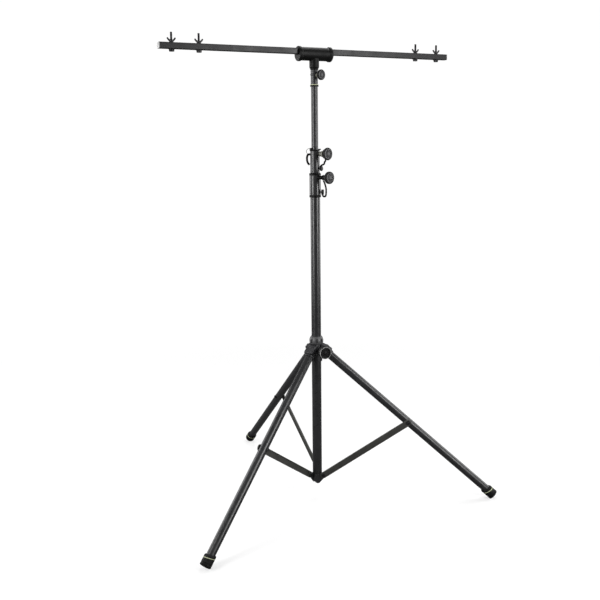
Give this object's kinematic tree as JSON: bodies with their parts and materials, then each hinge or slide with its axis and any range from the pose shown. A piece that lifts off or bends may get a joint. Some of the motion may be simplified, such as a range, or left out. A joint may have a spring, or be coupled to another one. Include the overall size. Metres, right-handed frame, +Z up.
{
  "type": "lighting stand",
  "caption": "Telescopic lighting stand: folding braced tripod, column with clamp knobs, and a square T-bar with wing-nut bolts for lamps.",
  "frame": {"origin": "centre of the column's flat lower end, on the column's axis; with the legs spread the floor is 54.6 mm below it", "axes": "+Z up the column; +X along the T-bar towards its right end; -Y towards the front, between the two front legs"},
  "size_m": [1.281, 1.1151, 1.8216],
  "materials": {
    "powder_coat": "satin powder coat",
    "bar_coat": "satin powder coat",
    "cast_alloy": "matt painted casting",
    "clamp_plastic": "fine moulded texture",
    "black_plastic": "fine moulded texture",
    "knob_plastic": "ribbed, moulded",
    "rubber": "matt",
    "ring_plastic": "semi gloss",
    "dark_steel": "black oxide",
    "cord": "flexible cord"
  },
  "bodies": {
    "column": {"base_tube": "powder_coat", "bottom_fitting": "cast_alloy", "lower_clamp_housing": "clamp_plastic", "lower_tether": "cord", "bottom_pivot_bolt_right": "dark_steel", "bottom_pivot_bolt_rear": "dark_steel", "bottom_pivot_bolt_left": "dark_steel"},
    "lower_knob": {"lower_clamp_knob": "knob_plastic"},
    "lower_pin": {"lower_safety_pin": "dark_steel"},
    "middle_section": {"middle_tube": "powder_coat", "middle_tube_guide": "black_plastic", "upper_clamp_housing": "clamp_plastic", "upper_tether": "cord"},
    "upper_knob": {"upper_clamp_knob": "knob_plastic"},
    "upper_pin": {"upper_safety_pin": "dark_steel"},
    "top_section": {"top_tube": "powder_coat", "top_tube_guide": "black_plastic", "top_socket": "cast_alloy", "socket_ring": "ring_plastic"},
    "head_knob": {"socket_knob": "knob_plastic"},
    "head": {"t_head": "black_plastic", "t_head_spigot": "dark_steel", "t_bar": "bar_coat", "bar_cap_left": "clamp_plastic", "bar_cap_right": "clamp_plastic", "fixture_bolt_1": "dark_steel", "fixture_bolt_2": "dark_steel", "fixture_bolt_3": "dark_steel", "fixture_bolt_4": "dark_steel"},
    "hub": {"hub_casting": "cast_alloy", "hub_collar": "clamp_plastic", "hub_pivot_bolt_right": "dark_steel", "hub_pivot_bolt_rear": "dark_steel", "hub_pivot_bolt_left": "dark_steel"},
    "hub_lock_knob": {"hub_knob": "knob_plastic"},
    "wing_nut_1": {"wing_nut_1": "dark_steel"},
    "wing_nut_2": {"wing_nut_2": "dark_steel"},
    "wing_nut_3": {"wing_nut_3": "dark_steel"},
    "wing_nut_4": {"wing_nut_4": "dark_steel"},
    "leg_right": {"leg_tube_right": "powder_coat", "leg_cap_right": "cast_alloy", "foot_cap_right": "rubber", "foot_ring_right": "ring_plastic", "brace_pivot_bolt_right": "dark_steel"},
    "brace_arm_right": {"brace_right": "powder_coat", "brace_pivot_nut_right": "dark_steel"},
    "leg_rear": {"leg_tube_rear": "powder_coat", "leg_cap_rear": "cast_alloy", "foot_cap_rear": "rubber", "foot_ring_rear": "ring_plastic", "brace_pivot_bolt_rear": "dark_steel"},
    "brace_arm_rear": {"brace_rear": "powder_coat", "brace_pivot_nut_rear": "dark_steel"},
    "leg_left": {"leg_tube_left": "powder_coat", "leg_cap_left": "cast_alloy", "foot_cap_left": "rubber", "foot_ring_left": "ring_plastic", "brace_pivot_bolt_left": "dark_steel"},
    "brace_arm_left": {"brace_left": "powder_coat", "brace_pivot_nut_left": "dark_steel"}
  },
  "joints": [
    {"name": "hub_slide", "type": "slide", "parent": "column", "child": "hub", "axis": [0, 0, 1], "range_m": [0, 0.32838]},
    {"name": "leg_fold_right", "type": "hinge", "parent": "hub", "child": "leg_right", "pos_m": [0.0381, -0.022, 0.5575], "axis": [0.5, 0.866, 0], "range_deg": [-0.01, 47.07]},
    {"name": "brace_fold_right", "type": "hinge", "parent": "column", "child": "brace_arm_right", "pos_m": [0.02252, -0.013, 0.0411], "axis": [-0.5, -0.866, 0], "range_deg": [-0.01, 52.14]},
    {"name": "leg_fold_rear", "type": "hinge", "parent": "hub", "child": "leg_rear", "pos_m": [0, 0.044, 0.5575], "axis": [-1, 0, 0], "range_deg": [-0.01, 47.07]},
    {"name": "brace_fold_rear", "type": "hinge", "parent": "column", "child": "brace_arm_rear", "pos_m": [0, 0.026, 0.0411], "axis": [1, 0, 0], "range_deg": [-0.01, 52.14]},
    {"name": "leg_fold_left", "type": "hinge", "parent": "hub", "child": "leg_left", "pos_m": [-0.0381, -0.022, 0.5575], "axis": [0.5, -0.866, 0], "range_deg": [-0.01, 47.07]},
    {"name": "brace_fold_left", "type": "hinge", "parent": "column", "child": "brace_arm_left", "pos_m": [-0.02252, -0.013, 0.0411], "axis": [-0.5, 0.866, 0], "range_deg": [-0.01, 52.14]},
    {"name": "middle_slide", "type": "slide", "parent": "column", "child": "middle_section", "axis": [0, 0, 1], "range_m": [0, 0.95]},
    {"name": "top_slide", "type": "slide", "parent": "middle_section", "child": "top_section", "axis": [0, 0, 1], "range_m": [-0.232, 0.8]},
    {"name": "head_swivel", "type": "hinge", "parent": "top_section", "child": "head", "pos_m": [0, 0, 1.6454], "axis": [0, 0, 1], "continuous": true},
    {"name": "lower_knob_turn", "type": "hinge", "parent": "column", "child": "lower_knob", "pos_m": [0.02348, -0.07228, 1.2544], "axis": [0.309, -0.9511, 0], "range_deg": [0, 720]},
    {"name": "upper_knob_turn", "type": "hinge", "parent": "middle_section", "child": "upper_knob", "pos_m": [0.02039, -0.06277, 1.3434], "axis": [0.309, -0.9511, 0], "range_deg": [0, 720]},
    {"name": "head_knob_turn", "type": "hinge", "parent": "top_section", "child": "head_knob", "pos_m": [0.01112, -0.03424, 1.6354], "axis": [0.309, -0.9511, 0], "range_deg": [0, 720]},
    {"name": "hub_knob_turn", "type": "hinge", "parent": "hub", "child": "hub_lock_knob", "pos_m": [0, -0.07, 0.5724], "axis": [0, -1, 0], "range_deg": [0, 720]},
    {"name": "wing_nut_turn_1", "type": "hinge", "parent": "head", "child": "wing_nut_1", "pos_m": [-0.555, 0, 1.7374], "axis": [0, 0, 1], "continuous": true},
    {"name": "wing_nut_turn_2", "type": "hinge", "parent": "head", "child": "wing_nut_2", "pos_m": [-0.455, 0, 1.7374], "axis": [0, 0, 1], "continuous": true},
    {"name": "wing_nut_turn_3", "type": "hinge", "parent": "head", "child": "wing_nut_3", "pos_m": [0.455, 0, 1.7374], "axis": [0, 0, 1], "continuous": true},
    {"name": "wing_nut_turn_4", "type": "hinge", "parent": "head", "child": "wing_nut_4", "pos_m": [0.555, 0, 1.7374], "axis": [0, 0, 1], "continuous": true},
    {"name": "lower_pin_pull", "type": "slide", "parent": "column", "child": "lower_pin", "axis": [0.6691, -0.7431, 0], "range_m": [0, 0.012]},
    {"name": "upper_pin_pull", "type": "slide", "parent": "middle_section", "child": "upper_pin", "axis": [0.5736, -0.8192, 0], "range_m": [0, 0.012]}
  ],
  "couplings": [
    {"joint": "leg_fold_right", "follows": "hub_slide", "rad_per_m": 2.5007},
    {"joint": "brace_fold_right", "follows": "hub_slide", "rad_per_m": 2.7703},
    {"joint": "leg_fold_rear", "follows": "hub_slide", "rad_per_m": 2.5007},
    {"joint": "brace_fold_rear", "follows": "hub_slide", "rad_per_m": 2.7703},
    {"joint": "leg_fold_left", "follows": "hub_slide", "rad_per_m": 2.5007},
    {"joint": "brace_fold_left", "follows": "hub_slide", "rad_per_m": 2.7703}
  ]
}
